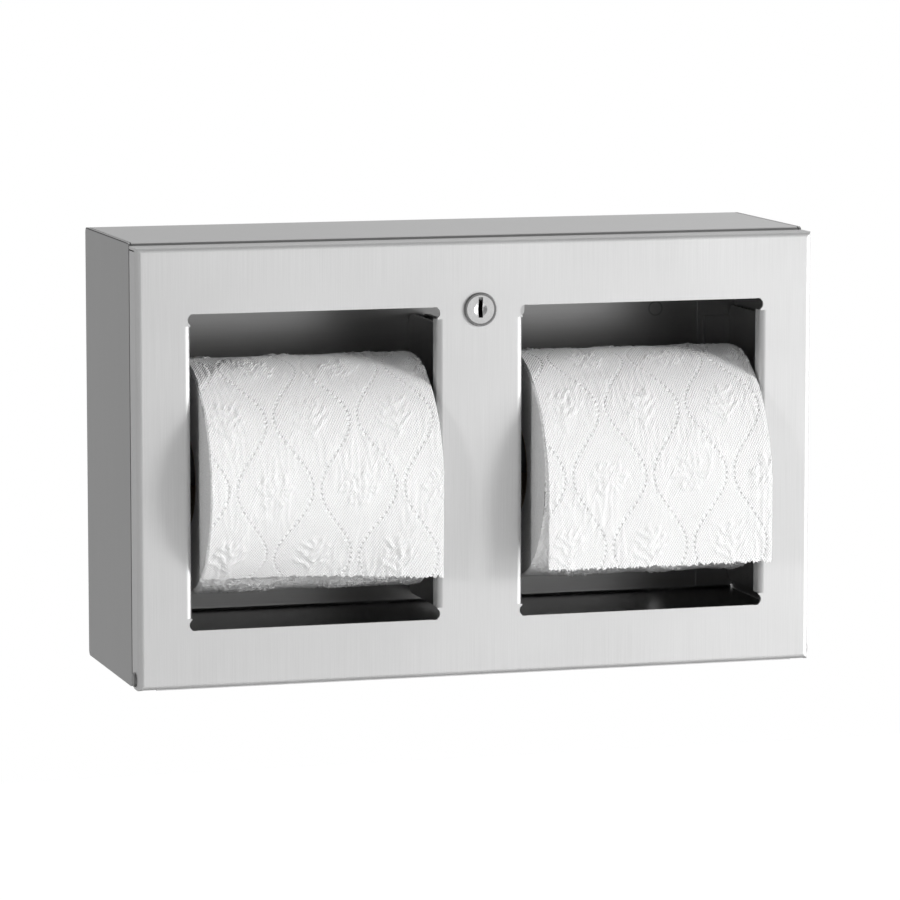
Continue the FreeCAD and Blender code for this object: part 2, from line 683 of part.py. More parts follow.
def make_stop_washer():
    body = new_body("stop_washer")
    disc = new_sketch(body, "XZ_Plane")
    circle(disc, "0", "0", "Sizes.stop_washer_radius")
    pad(body, disc, "Sizes.stop_washer_thickness", backwards=True)
    tab = new_sketch(body, "XZ_Plane")
    half_tab = "(Sizes.stop_tab_width / 2)"
    rectangle(tab, minus(half_tab), half_tab, "0", "(Sizes.stop_washer_radius + Sizes.stop_tab_reach)")
    pad(body, tab, "Sizes.stop_washer_thickness", backwards=True)
    hole = new_sketch(body, "XZ_Plane")
    square(hole, TAIL_HOLE)
    pocket(body, hole)
    place(body, y="(%s + %s)" % (FRONT, STOP_WASHER_Y), z=LOCK_Z)


def make_lock_cam():
    # At rest the arm lies level, clear of the cabinet's top lip.
    body = new_body("lock_cam")
    half = "(Sizes.cam_width / 2)"
    hub = new_sketch(body, "XZ_Plane")
    rectangle(hub, minus(half), CAM_REACH, minus(half), half, "Sizes.cam_corner")
    pad(body, hub, "Sizes.cam_thickness", backwards=True)
    hole = new_sketch(body, "XZ_Plane")
    square(hole, TAIL_HOLE)
    pocket(body, hole)
    place(body, y="(%s + %s)" % (FRONT, CAM_Y), z=LOCK_Z)


def make_cam_screw():
    body = new_body("cam_screw")
    head = new_sketch(body, "XZ_Plane")
    circle(head, "0", "0", "Sizes.cam_screw_head_radius")
    pad(body, head, "Sizes.cam_screw_head_height", backwards=True)
    fillet(body, "Sizes.cam_screw_head_height / 2", lambda box: near(box.YMin, "Sizes.cam_screw_head_height"))
    shank = new_sketch(body, "XZ_Plane")
    circle(shank, "0", "0", "Sizes.cam_screw_radius")
    pad(body, shank, "Sizes.cam_screw_length - Sizes.plug_fit")
    drive = new_sketch(body, "XZ_Plane", minus("Sizes.cam_screw_head_height"))
    half_slot = "(Sizes.cam_screw_slot / 2)"
    reach = "Sizes.cam_screw_head_radius"
    rectangle(drive, minus(reach), reach, minus(half_slot), half_slot)
    pocket(body, drive, "Sizes.cam_screw_slot_depth", backwards=True)
    place(body, y="(%s + %s)" % (FRONT, CAM_BACK_Y), z=LOCK_Z)


def make_spindle(name, side):
    body = new_body(name)
    barrel = new_sketch(body, "YZ_Plane")
    circle(barrel, "0", "0", "Sizes.spindle_radius")
    pad(body, barrel, SPINDLE_LENGTH, symmetric=True)
    half_length = "(%s / 2)" % SPINDLE_LENGTH
    fillet(body, "Sizes.spindle_end_round",
           lambda box: near(abs(box.XMin), half_length) and near(abs(box.XMax), half_length))
    pins = new_sketch(body, "YZ_Plane")
    square(pins, "Sizes.pin_side")
    pad(body, pins, "%s + 2 * %s" % (SPINDLE_LENGTH, PIN_REACH), symmetric=True)
    for end in (LEFT, RIGHT):
        groove_x = "(%s - 2 * Sizes.spindle_groove_width)" % half_length
        groove = new_sketch(body, "YZ_Plane", signed(end, groove_x))
        circle(groove, "0", "0", "(Sizes.spindle_radius + Sizes.spindle_groove_depth)")
        circle(groove, "0", "0", "(Sizes.spindle_radius - Sizes.spindle_groove_depth)")
        pocket(body, groove, "Sizes.spindle_groove_width", backwards=end < 0)
    place(body, x=signed(side, SPINDLE_X), y=ROLL_Y)


def roll_x(side):
    # Both rolls lie a little to the right of their windows' centres.
    shift = "Sizes.left_roll_shift" if side < 0 else "Sizes.right_roll_shift"
    return "(%s + %s)" % (signed(side, WINDOW_X), shift)


def make_roll(core_name, roll_name, side, radius):
    core = new_body(core_name)
    core_outer = "(Sizes.core_inner_radius + Sizes.core_wall)"
    tube = new_sketch(core, "YZ_Plane")
    circle(tube, "0", "0", core_outer)
    circle(tube, "0", "0", "Sizes.core_inner_radius")
    pad(core, tube, "Sizes.roll_width", symmetric=True)
    paper = new_body(roll_name)
    winding = new_sketch(paper, "YZ_Plane")
    circle(winding, "0", "0", radius)
    circle(winding, "0", "0", "(%s + Sizes.core_fit)" % core_outer)
    pad(paper, winding, "Sizes.roll_width", symmetric=True)
    fillet(paper, "Sizes.roll_edge_round", lambda box: near(box.ZMax, radius) and box.XLength < TOUCH)
    for body in (core, paper):
        place(body, x=roll_x(side), y=ROLL_Y, z=minus(ROLL_DROP))


def make_tail(name, side, radius, word):
    # Loose end of the outer sheet: it leaves the roll at an angle above the axis, swings clear of the
    # roll by the bulge and then hangs straight down.
    body = new_body(name)
    angle = "Sizes.%s_tail_angle" % word
    bulge = "Sizes.%s_tail_bulge" % word
    low = minus("Sizes.%s_tail_drop" % word)
    leave = "(%s + Sizes.tail_gap)" % radius
    curve = "(%s + %s / (1 - cos(%s)))" % (leave, bulge, angle)
    centre_y = "((%s - %s) * cos(%s))" % (curve, leave, angle)
    centre_z = "((%s - %s) * sin(%s))" % (leave, curve, angle)
    profile = new_sketch(body, "YZ_Plane")
    centre = FreeCAD.Vector(value(centre_y), value(centre_z), 0)
    turn = math.radians(value(angle))
    arcs = []
    for extra in ("0", "Sizes.tail_thickness"):
        size = "(%s + %s)" % (curve, extra)
        full = Part.Circle(centre, FreeCAD.Vector(0, 0, 1), value(size))
        arc = profile.addGeometry(Part.ArcOfCircle(full, math.pi - turn, math.pi))
        bind(profile, Sketcher.Constraint("Radius", arc, value(size)), size)
        bind_point(profile, arc, 3, centre_y, centre_z)
        start_z = "(%s + %s * sin(%s))" % (centre_z, size, angle)
        bind(profile, Sketcher.Constraint("DistanceY", -1, 1, arc, 1, value(start_z)), start_z)
        bind(profile, Sketcher.Constraint("DistanceY", -1, 1, arc, 2, value(centre_z)), centre_z)
        arcs.append((arc, centre.x - value(size)))
    (inner, inner_y), (outer, outer_y) = arcs
    hang = value(low)
    top_inner = profile.getPoint(inner, 1)
    top_outer = profile.getPoint(outer, 1)
    runs = (
        (top_inner, top_outer),
        (FreeCAD.Vector(inner_y, centre.y, 0), FreeCAD.Vector(inner_y, hang, 0)),
        (FreeCAD.Vector(inner_y, hang, 0), FreeCAD.Vector(outer_y, hang, 0)),
        (FreeCAD.Vector(outer_y, hang, 0), FreeCAD.Vector(outer_y, centre.y, 0)),
    )
    cap, back, hem, face = [profile.addGeometry(Part.LineSegment(*run)) for run in runs]
    for first, first_end, second, second_end in (
        (inner, 1, cap, 1), (cap, 2, outer, 1), (inner, 2, back, 1), (back, 2, hem, 1), (hem, 2, face, 1),
        (face, 2, outer, 2),
    ):
        profile.addConstraint(Sketcher.Constraint("Coincident", first, first_end, second, second_end))
    profile.addConstraint(Sketcher.Constraint("Vertical", back))
    profile.addConstraint(Sketcher.Constraint("Vertical", face))
    profile.addConstraint(Sketcher.Constraint("Horizontal", hem))
    bind(profile, Sketcher.Constraint("DistanceY", -1, 1, hem, 1, hang), low)
    pad(body, profile, "Sizes.roll_width", symmetric=True)
    place(body, x=roll_x(side), y=ROLL_Y, z=minus(ROLL_DROP))


make_cabinet_wrap()
make_centre_bracket()
make_door_panel()
make_lock_body()
make_lock_nut()
make_lock_plug()
make_stop_washer()
make_lock_cam()
make_cam_screw()
for word, side in (("left", LEFT), ("right", RIGHT)):
    roll_radius = "Sizes.%s_roll_radius" % word
    make_end_panel(word + "_end_panel", side)
    make_side_bracket(word + "_roll_bracket", side)
    make_pivot_ear(word + "_pivot_ear", side)
    make_pivot_rivet(word + "_pivot_rivet", side)
    make_pivot_washer(word + "_pivot_washer", side)
    make_spindle(word + "_spindle", side)
    make_roll(word + "_roll_core", word + "_paper_roll", side, roll_radius)
    make_tail(word + "_paper_tail", side, roll_radius, word)

doc.recompute()
for item in doc.Objects:
    if "Invalid" in item.State or "Error" in item.State:
        raise RuntimeError("%s failed: %s" % (item.Label, item.State))
for part in parts:
    if part.Shape.isNull() or not part.Shape.isValid():
        raise RuntimeError("%s has no valid shape" % part.Label)

os.makedirs("parts", exist_ok=True)
for part in parts:
    part.Shape.exportStep("parts/%s.step" % part.Label)
    print("%-22s %10.1f mm3" % (part.Label, part.Shape.Volume))
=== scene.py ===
import bmesh
import bpy
import math
import numpy as np
import random
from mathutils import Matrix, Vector, noise


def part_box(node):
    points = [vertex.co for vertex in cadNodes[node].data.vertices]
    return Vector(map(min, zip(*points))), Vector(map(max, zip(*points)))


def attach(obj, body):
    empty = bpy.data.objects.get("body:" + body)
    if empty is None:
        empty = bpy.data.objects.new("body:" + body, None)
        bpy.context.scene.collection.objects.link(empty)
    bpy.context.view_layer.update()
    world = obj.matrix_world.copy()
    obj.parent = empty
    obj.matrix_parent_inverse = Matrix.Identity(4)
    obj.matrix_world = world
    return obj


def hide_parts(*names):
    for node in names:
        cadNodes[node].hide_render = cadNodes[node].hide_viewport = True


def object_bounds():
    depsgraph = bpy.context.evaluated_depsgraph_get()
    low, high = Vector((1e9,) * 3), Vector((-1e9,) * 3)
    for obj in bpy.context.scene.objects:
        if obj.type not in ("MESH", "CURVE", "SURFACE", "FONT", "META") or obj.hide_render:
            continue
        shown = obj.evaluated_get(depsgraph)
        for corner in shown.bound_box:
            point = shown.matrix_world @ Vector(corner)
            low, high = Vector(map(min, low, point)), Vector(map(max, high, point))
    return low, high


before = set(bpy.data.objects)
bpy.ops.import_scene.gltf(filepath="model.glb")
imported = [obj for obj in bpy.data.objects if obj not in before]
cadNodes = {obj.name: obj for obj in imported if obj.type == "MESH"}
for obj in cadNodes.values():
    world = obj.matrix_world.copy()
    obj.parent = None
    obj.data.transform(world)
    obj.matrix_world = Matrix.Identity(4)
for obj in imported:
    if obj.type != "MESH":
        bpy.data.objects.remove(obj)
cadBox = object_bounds()
mm = 0.001
fullTurn = 2 * math.pi
print("frame loaded:", len(cadNodes), "nodes")


# small helpers for node trees

def addNode(tree, kind, **settings):
    node = tree.nodes.new(kind)
    for key, setting in settings.items():
        setattr(node, key, setting)
    return node


def plug(tree, socket, term):
    # a number or a colour is set on the socket, anything else is wired to it
    if isinstance(term, bpy.types.NodeSocket):
        tree.links.new(term, socket)
    else:
        socket.default_value = term


def calc(tree, operation, *terms):
    node = addNode(tree, "ShaderNodeMath", operation=operation)
    for socket, term in zip(node.inputs, terms):
        plug(tree, socket, term)
    return node.outputs[0]


def vectorCalc(tree, operation, *terms):
    node = addNode(tree, "ShaderNodeVectorMath", operation=operation)
    for socket, term in zip(node.inputs, terms):
        plug(tree, socket, term)
    return node.outputs["Value" if operation in ("DOT_PRODUCT", "LENGTH") else "Vector"]


def splitVector(tree, vector):
    node = addNode(tree, "ShaderNodeSeparateXYZ")
    plug(tree, node.inputs[0], vector)
    return node.outputs


def noiseTexture(tree, vector, scale, detail=3.0, roughness=0.55):
    node = addNode(tree, "ShaderNodeTexNoise")
    plug(tree, node.inputs["Vector"], vector)
    node.inputs["Scale"].default_value = scale
    node.inputs["Detail"].default_value = detail
    node.inputs["Roughness"].default_value = roughness
    return node.outputs["Fac"]


def mixColour(tree, factor, first, second):
    node = addNode(tree, "ShaderNodeMix", data_type="RGBA")
    plug(tree, node.inputs[0], factor)
    plug(tree, node.inputs[6], first)
    plug(tree, node.inputs[7], second)
    return node.outputs[2]


def spanTo(tree, factor, low, high):
    node = addNode(tree, "ShaderNodeMapRange")
    plug(tree, node.inputs["Value"], factor)
    node.inputs["To Min"].default_value = low
    node.inputs["To Max"].default_value = high
    return node.outputs["Result"]


def smoothMask(tree, reading, start, end, first=0.0, last=1.0):
    # goes softly from first, at start, to last, at end
    node = addNode(tree, "ShaderNodeMapRange", interpolation_type="SMOOTHSTEP")
    plug(tree, node.inputs["Value"], reading)
    node.inputs["From Min"].default_value = start
    node.inputs["From Max"].default_value = end
    node.inputs["To Min"].default_value = first
    node.inputs["To Max"].default_value = last
    return node.outputs["Result"]


def grey(level):
    return (level, level, level, 1.0)


def newGroup(name, inputs, outputs):
    tree = bpy.data.node_groups.new(name, "ShaderNodeTree")
    for label, kind, start in inputs:
        socket = tree.interface.new_socket(label, in_out="INPUT", socket_type=kind)
        if start is not None:
            socket.default_value = start
    for label, kind in outputs:
        tree.interface.new_socket(label, in_out="OUTPUT", socket_type=kind)
    return tree, addNode(tree, "NodeGroupInput").outputs, addNode(tree, "NodeGroupOutput").inputs


def useGroup(tree, group, **terms):
    node = addNode(tree, "ShaderNodeGroup", node_tree=group)
    for label, term in terms.items():
        plug(tree, node.inputs[label], term)
    return node.outputs


def newMaterial(name):
    material = bpy.data.materials.new(name)
    material.use_nodes = True
    tree = material.node_tree
    shader = tree.nodes["Principled BSDF"]
    return material, tree, shader


def objectPlace(tree):
    return addNode(tree, "ShaderNodeTexCoord").outputs["Object"]


def addBump(tree, shader, height, depth):
    bump = addNode(tree, "ShaderNodeBump")
    bump.inputs["Strength"].default_value = 1.0
    bump.inputs["Distance"].default_value = depth
    plug(tree, bump.inputs["Height"], height)
    tree.links.new(bump.outputs["Normal"], shader.inputs["Normal"])


# pressed pattern of the paper, in millimetres of paper: rows of dots in an ogee lattice, with a small
# motif of strokes in each cell

paperPattern = {
    "lineGap": 18.3, "swing": 7.4, "period": 62.0,
    "dotPitch": 2.3, "dotCore": 0.05, "dotReach": 0.95, "dotPrick": 1.5, "dotDepth": 0.2,
    "pillows": ((-30.0, 0.26), (38.0, 0.13)), "fibreScale": 1.7, "fibreDetail": 4.0, "fibreRoughness": 0.65,
    "strokeWidth": 0.62, "strokeHeight": 0.62, "motifScale": 1.18, "warp": 0.75,
}


# shared effects

grainLook = {"streakDetail": 4.0, "streakRoughness": 0.6, "cloudScale": 16.0, "cloudDetail": 2.0}


def makeBrushedGrain():
    # fine streaks along the direction that Stretch pulls least, and slow cloudy patches
    look = grainLook
    tree, given, out = newGroup(
        "brushedGrain",
        [("Vector", "NodeSocketVector", None), ("Stretch", "NodeSocketVector", None)],
        [("Streak", "NodeSocketFloat"), ("Cloud", "NodeSocketFloat")],
    )
    pulled = vectorCalc(tree, "MULTIPLY", given["Vector"], given["Stretch"])
    streak = noiseTexture(tree, pulled, 1.0, look["streakDetail"], look["streakRoughness"])
    plug(tree, out["Streak"], streak)
    plug(tree, out["Cloud"], noiseTexture(tree, given["Vector"], look["cloudScale"], look["cloudDetail"]))
    return tree


def makeTurnedRings():
    # fine lathe rings round a centre, in the plane that Across keeps
    tree, given, out = newGroup(
        "turnedRings",
        [
            ("Vector", "NodeSocketVector", None),
            ("Centre", "NodeSocketVector", None),
            ("Across", "NodeSocketVector", (1.0, 0.0, 1.0)),
            ("Pitch", "NodeSocketFloat", 0.0003),
        ],
        [("Height", "NodeSocketFloat"), ("Distance", "NodeSocketFloat")],
    )
    fromCentre = vectorCalc(tree, "SUBTRACT", given["Vector"], given["Centre"])
    distance = vectorCalc(tree, "LENGTH", vectorCalc(tree, "MULTIPLY", fromCentre, given["Across"]))
    turns = calc(tree, "DIVIDE", distance, given["Pitch"])
    plug(tree, out["Height"], calc(tree, "SINE", calc(tree, "MULTIPLY", turns, fullTurn)))
    plug(tree, out["Distance"], distance)
    return tree


skinLook = {"grainScale": 2600.0, "cloudScale": 60.0, "detail": 2.0}


def makeMouldedSkin():
    # spark-eroded mould texture
    tree, given, out = newGroup(
        "mouldedSkin",
        [("Vector", "NodeSocketVector", None)],
        [("Height", "NodeSocketFloat"), ("Cloud", "NodeSocketFloat")],
    )
    for label, scale in (("Height", "grainScale"), ("Cloud", "cloudScale")):
        plug(tree, out[label], noiseTexture(tree, given["Vector"], skinLook[scale], skinLook["detail"]))
    return tree


def makeTissueWaffle():
    # small diagonal pillows of pressed tissue with loose fibres, on the paper's own millimetres, and the
    # pricked dots of the ogee lattice
    look = paperPattern
    tree, given, out = newGroup(
        "tissueWaffle",
        [("Vector", "NodeSocketVector", None), ("Pitch", "NodeSocketFloat", None)],
        [("Height", "NodeSocketFloat"), ("Fibre", "NodeSocketFloat")],
    )
    waves = []
    for lean, share in look["pillows"]:
        turn = math.radians(lean)
        run = vectorCalc(tree, "DOT_PRODUCT", given["Vector"], (math.cos(turn), math.sin(turn), 0.0))
        phase = calc(tree, "MULTIPLY", calc(tree, "DIVIDE", run, given["Pitch"]), fullTurn)
        waves.append(calc(tree, "MULTIPLY", calc(tree, "SINE", phase), share))
    pillows = calc(tree, "ADD", waves[0], waves[1])
    fibre = noiseTexture(tree, given["Vector"], look["fibreScale"], look["fibreDetail"],
                         look["fibreRoughness"])
    spot = splitVector(tree, given["Vector"])
    half = look["dotPitch"] / 2
    beat = calc(tree, "WRAP", spot["Y"], half, -half)
    dotRow = calc(tree, "SUBTRACT", spot["Y"], beat)
    turns = calc(tree, "MULTIPLY", dotRow, fullTurn / look["period"])
    sway = calc(tree, "MULTIPLY", calc(tree, "COSINE", turns), look["swing"])
    dots = []
    for sign, shift in (("SUBTRACT", 0.0), ("ADD", look["lineGap"])):
        line = calc(tree, "SUBTRACT", calc(tree, sign, spot["X"], sway), shift)
        offset = calc(tree, "WRAP", line, look["lineGap"], -look["lineGap"])
        squares = calc(tree, "ADD", calc(tree, "POWER", offset, 2.0), calc(tree, "POWER", beat, 2.0))
        reach = calc(tree, "SQRT", squares)
        dots.append(smoothMask(tree, reach, look["dotCore"], look["dotReach"], look["dotPrick"], 0.0))
    surface = calc(tree, "ADD", pillows, fibre)
    plug(tree, out["Height"], calc(tree, "SUBTRACT", surface, calc(tree, "MAXIMUM", dots[0], dots[1])))
    plug(tree, out["Fibre"], fibre)
    return tree


layerLook = {
    "wobbleScale": 55.0, "wobbleDetail": 2.0, "wobble": 1.2 * mm,
    "ringScale": 1800.0, "ringDetail": 3.0, "smudgeScale": 1100.0,
}


def makeWoundLayers():
    # edges of wound paper: rings round the roll's axis, a little uneven
    look = layerLook
    tree, given, out = newGroup(
        "woundLayers",
        [("Vector", "NodeSocketVector", None), ("Centre", "NodeSocketVector", None)],
        [("Layer", "NodeSocketFloat"), ("Smudge", "NodeSocketFloat")],
    )
    spoke = vectorCalc(tree, "SUBTRACT", given["Vector"], given["Centre"])
    flat = vectorCalc(tree, "MULTIPLY", spoke, (0.0, 1.0, 1.0))
    unevenness = noiseTexture(tree, given["Vector"], look["wobbleScale"], look["wobbleDetail"])
    wobble = calc(tree, "MULTIPLY", unevenness, look["wobble"])
    rings = addNode(tree, "ShaderNodeTexNoise", noise_dimensions="1D")
    rings.inputs["Scale"].default_value = look["ringScale"]
    rings.inputs["Detail"].default_value = look["ringDetail"]
    plug(tree, rings.inputs["W"], calc(tree, "ADD", vectorCalc(tree, "LENGTH", flat), wobble))
    plug(tree, out["Layer"], rings.outputs["Fac"])
    plug(tree, out["Smudge"], noiseTexture(tree, given["Vector"], look["smudgeScale"]))
    return tree


brushedGrain = makeBrushedGrain()
turnedRings = makeTurnedRings()
mouldedSkin = makeMouldedSkin()
tissueWaffle = makeTissueWaffle()
woundLayers = makeWoundLayers()
print("shared effects ready")


# sheet steel

uprightGrain = (2300.0, 2300.0, 28.0)
levelGrain = (28.0, 2300.0, 2300.0)
steelLooks = {
    "doorSteel": {"dark": 0.55, "light": 0.75, "rough": (0.42, 0.52), "metal": 0.68,
                  "grain": uprightGrain, "depth": 0.012 * mm},
    "panelSteel": {"dark": 0.38, "light": 0.52, "rough": (0.36, 0.46), "metal": 1.0,
                   "grain": uprightGrain, "depth": 0.012 * mm},
    "wrapSteel": {"dark": 0.43, "light": 0.55, "rough": (0.26, 0.36), "metal": 1.0,
                  "grain": levelGrain, "depth": 0.008 * mm},
    "bracketSteel": {"dark": 0.42, "light": 0.52, "rough": (0.30, 0.42), "metal": 1.0,
                     "grain": uprightGrain, "depth": 0.010 * mm},
}
steelTone = {"streak": 0.6, "cloud": 0.4}
# painted shade of the seam: a dark line where the gap under the wrap shades the end panels' top edge
seamShade = {"width": 0.75 * mm, "skin": 0.05 * mm, "tone": 0.06}
weldMark = {
    "centre": (0.1125, 0.0, 0.052), "radius": 3.1 * mm, "width": 0.6 * mm, "shade": 0.45, "tone": 0.12,
}


def weldRing(tree, place):
    rings = useGroup(tree, turnedRings, Vector=place, Centre=weldMark["centre"])
    offset = calc(tree, "ABSOLUTE", calc(tree, "SUBTRACT", rings["Distance"], weldMark["radius"]))
    return smoothMask(tree, offset, 0.0, weldMark["width"], weldMark["shade"], 0.0)


def seamPaintedShade(tree, place):
    # painted shade: a dark line on the panels' outer skin, along the seam under the wrap, where the gap's
    # shadow falls
    low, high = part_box("left_end_panel")
    spot = splitVector(tree, place)
    edge = smoothMask(tree, spot["Z"], high.z - seamShade["width"], high.z - seamShade["width"] / 2)
    fromMiddle = calc(tree, "ABSOLUTE", spot["X"])
    outside = calc(tree, "GREATER_THAN", fromMiddle, abs(low.x) - seamShade["skin"])
    return calc(tree, "MULTIPLY", edge, outside)


def steelMaterial(name):
    look = steelLooks[name]
    material, tree, shader = newMaterial(name)
    place = objectPlace(tree)
    grain = useGroup(tree, brushedGrain, Vector=place, Stretch=look["grain"])
    streak = calc(tree, "MULTIPLY", grain["Streak"], steelTone["streak"])
    tone = calc(tree, "ADD", streak, calc(tree, "MULTIPLY", grain["Cloud"], steelTone["cloud"]))
    colour = mixColour(tree, tone, grey(look["dark"]), grey(look["light"]))
    if name == "wrapSteel":
        colour = mixColour(tree, weldRing(tree, place), colour, grey(weldMark["tone"]))
    # painted shade along the seam under the wrap
    if name == "panelSteel":
        colour = mixColour(tree, seamPaintedShade(tree, place), colour, grey(seamShade["tone"]))
    plug(tree, shader.inputs["Base Color"], colour)
    shader.inputs["Metallic"].default_value = look["metal"]
    plug(tree, shader.inputs["Roughness"], spanTo(tree, tone, *look["rough"]))
    addBump(tree, shader, grain["Streak"], look["depth"])
    return material


# turned and plated small metal

platedLooks = {
    "rivetSteel": {"dark": 0.22, "light": 0.32, "rough": (0.28, 0.40),
                   "across": (0.0, 1.0, 1.0), "of": "left_pivot_rivet"},
    "lockNickel": {"dark": 0.68, "light": 0.76, "rough": (0.20, 0.28),
                   "across": (1.0, 0.0, 1.0), "of": "lock_plug"},
    # painted shade and reflection: the same nickel as the plug, its colour darkened for the dark reflections
    # on the bezel's rounded rim
    "bezelNickelShaded": {"dark": 0.22, "light": 0.30, "rough": (0.10, 0.16),
                    "across": (1.0, 0.0, 1.0), "of": "lock_plug"},
    "zincPlate": {"dark": 0.55, "light": 0.66, "rough": (0.30, 0.42),
                  "across": (1.0, 0.0, 1.0), "of": "lock_plug"},
}
turnedLook = {"ringPitch": 0.28 * mm, "ringDepth": 0.004 * mm, "patchScale": 420.0}
# painted shade inside the keyway recess
keywayShade = {"radius": 3.4 * mm, "from": 0.62 * mm, "to": 0.9 * mm, "tone": 0.02}


def keywayPaintedShade(tree, place, distance, face):
    # painted shade deep in the keyway, from a little way behind the plug's face
    depth = splitVector(tree, place)["Y"]
    deep = smoothMask(tree, depth, face + keywayShade["from"], face + keywayShade["to"])
    return calc(tree, "MULTIPLY", deep, calc(tree, "LESS_THAN", distance, keywayShade["radius"]))


def platedMaterial(name):
    look = platedLooks[name]
    material, tree, shader = newMaterial(name)
    place = objectPlace(tree)
    low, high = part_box(look["of"])
    rings = useGroup(tree, turnedRings, Vector=place, Centre=(low + high) / 2, Across=look["across"],
                     Pitch=turnedLook["ringPitch"])
    patch = noiseTexture(tree, place, turnedLook["patchScale"])
    colour = mixColour(tree, patch, grey(look["dark"]), grey(look["light"]))
    if name == "lockNickel":
        # painted shade deep in the keyway
        recessShade = keywayPaintedShade(tree, place, rings["Distance"], low.y)
        colour = mixColour(tree, recessShade, colour, grey(keywayShade["tone"]))
    plug(tree, shader.inputs["Base Color"], colour)
    shader.inputs["Metallic"].default_value = 1.0
    plug(tree, shader.inputs["Roughness"], spanTo(tree, patch, *look["rough"]))
    addBump(tree, shader, rings["Height"], turnedLook["ringDepth"])
    return material


# moulded plastics

plasticLooks = {
    "spindlePlastic": {"dark": (0.055, 0.055, 0.06, 1.0), "light": (0.085, 0.085, 0.09, 1.0),
                       "rough": (0.42, 0.58)},
    "washerNylon": {"dark": (0.70, 0.70, 0.67, 1.0), "light": (0.80, 0.80, 0.78, 1.0),
                    "rough": (0.40, 0.52)},
}
skinDepth = 0.03 * mm


def plasticMaterial(name):
    look = plasticLooks[name]
    material, tree, shader = newMaterial(name)
    skin = useGroup(tree, mouldedSkin, Vector=objectPlace(tree))
    plug(tree, shader.inputs["Base Color"], mixColour(tree, skin["Cloud"], look["dark"], look["light"]))
    plug(tree, shader.inputs["Roughness"], spanTo(tree, skin["Cloud"], *look["rough"]))
    addBump(tree, shader, skin["Height"], skinDepth)
    return material


# wound cardboard of the cores

coreLook = {
    "dark": (0.33, 0.27, 0.20, 1.0), "light": (0.50, 0.43, 0.34, 1.0), "rough": (0.8, 0.95),
    "lead": 62 * mm, "seam": 0.05, "seamShade": 0.5, "fibreScale": 900.0, "fibreDetail": 4.0,
    "depth": 0.06 * mm,
}


def coreMaterial():
    look = coreLook
    material, tree, shader = newMaterial("coreBoard")
    place = objectPlace(tree)
    low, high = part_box("left_roll_core")
    spoke = splitVector(tree, vectorCalc(tree, "SUBTRACT", place, (low + high) / 2))
    turn = calc(tree, "DIVIDE", calc(tree, "ARCTAN2", spoke["Z"], spoke["Y"]), fullTurn)
    advance = calc(tree, "ADD", calc(tree, "DIVIDE", spoke["X"], look["lead"]), turn)
    seam = calc(tree, "LESS_THAN", calc(tree, "FRACT", advance), look["seam"])
    fibre = noiseTexture(tree, place, look["fibreScale"], look["fibreDetail"])
    board = mixColour(tree, fibre, look["dark"], look["light"])
    seamMask = calc(tree, "MULTIPLY", seam, look["seamShade"])
    plug(tree, shader.inputs["Base Color"], mixColour(tree, seamMask, board, look["dark"]))
    plug(tree, shader.inputs["Roughness"], spanTo(tree, fibre, *look["rough"]))
    addBump(tree, shader, calc(tree, "SUBTRACT", fibre, seam), look["depth"])
    return material


# tissue paper, and the wound edges at the ends of a roll

tissueLook = {
    "dark": 0.86, "light": 0.93, "rough": (0.85, 0.95), "specular": 0.2, "pitch": 0.96, "depth": 0.4 * mm,
}
# the ends' grey is partly painted shade: the white wound edges are darkened for the shade between the layers
edgeLook = {"dark": 0.4, "light": 0.82, "rough": (0.88, 0.97), "specular": 0.1, "depth": 0.22 * mm}


def tissueMaterial():
    look = tissueLook
    material, tree, shader = newMaterial("tissue")
    spot = addNode(tree, "ShaderNodeAttribute", attribute_name="paperSpot").outputs["Vector"]
    waffle = useGroup(tree, tissueWaffle, Vector=spot, Pitch=look["pitch"])
    colour = mixColour(tree, waffle["Fibre"], grey(look["dark"]), grey(look["light"]))
    plug(tree, shader.inputs["Base Color"], colour)
    plug(tree, shader.inputs["Roughness"], spanTo(tree, waffle["Fibre"], *look["rough"]))
    shader.inputs["Specular IOR Level"].default_value = look["specular"]
    addBump(tree, shader, waffle["Height"], look["depth"])
    return material


def rollEdgeMaterial():
    look = edgeLook
    material, tree, shader = newMaterial("rollEdge")
    low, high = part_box("left_paper_roll")
    layers = useGroup(tree, woundLayers, Vector=objectPlace(tree), Centre=(low + high) / 2)
    both = calc(tree, "ADD", layers["Layer"], layers["Smudge"])
    mean = calc(tree, "MULTIPLY", both, 0.5)
    # the darker end of the mix is partly painted shade between the layers
    plug(tree, shader.inputs["Base Color"], mixColour(tree, mean, grey(look["dark"]), grey(look["light"])))
    plug(tree, shader.inputs["Roughness"], spanTo(tree, layers["Smudge"], *look["rough"]))
    shader.inputs["Specular IOR Level"].default_value = look["specular"]
    addBump(tree, shader, both, look["depth"])
    return material


materials = {name: steelMaterial(name) for name in steelLooks}
materials.update({name: platedMaterial(name) for name in platedLooks})
materials.update({name: plasticMaterial(name) for name in plasticLooks})
materials["coreBoard"] = coreMaterial()
materials["tissue"] = tissueMaterial()
materials["rollEdge"] = rollEdgeMaterial()
print("materials ready:", len(materials))

# finish by the end of a node's name
finishOf = {
    "cabinet_wrap": "wrapSteel",
    "end_panel": "panelSteel",
    "roll_bracket": "bracketSteel",
    "pivot_ear": "bracketSteel",
    "door_panel": "doorSteel",
    "pivot_rivet": "rivetSteel",
    "pivot_washer": "washerNylon",
    "lock_body": "bezelNickelShaded",
    "lock_plug": "lockNickel",
    "lock_nut": "zincPlate",
    "stop_washer": "zincPlate",
    "lock_cam": "zincPlate",
    "cam_screw": "zincPlate",
    "spindle": "spindlePlastic",
    "roll_core": "coreBoard",
    "paper_roll": "tissue",
    "paper_tail": "tissue",
}
for nodeName, node in cadNodes.items():
    finish = next(finishOf[key] for key in finishOf if nodeName.endswith(key))
    node.data.materials.clear()
    node.data.materials.append(materials[finish])
print("finishes on the frame")


# relief of the pressed pattern, in millimetres

